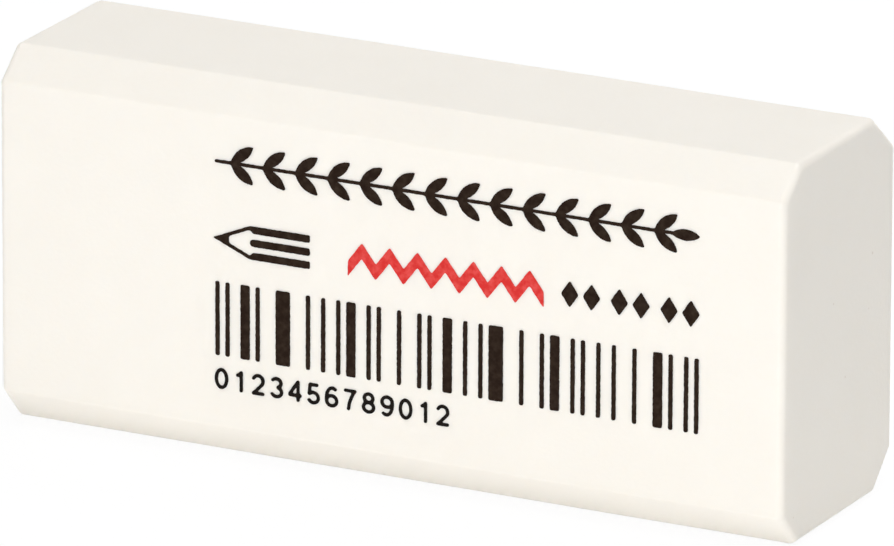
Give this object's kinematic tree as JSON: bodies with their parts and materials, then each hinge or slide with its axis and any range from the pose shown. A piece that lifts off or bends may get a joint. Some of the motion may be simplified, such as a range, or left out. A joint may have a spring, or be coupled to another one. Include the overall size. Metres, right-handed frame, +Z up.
{
  "type": "drawing eraser",
  "caption": "Rectangular white plastic eraser block with bevelled long edges and a printed front face.",
  "frame": {"origin": "middle of the underside, on the surface that the block stands on", "axes": "+X along the block, -Y out of the printed face, +Z up across the printed face"},
  "size_m": [0.041, 0.0118, 0.0184],
  "materials": {
    "white_plastic": "matt, slightly translucent soft plastic",
    "black_ink": "thin matt pad-printed ink",
    "red_ink": "thin matt pad-printed ink"
  },
  "bodies": {
    "root": {"eraser_block": "white_plastic", "black_print": "black_ink", "red_print": "red_ink"}
  },
  "joints": []
}
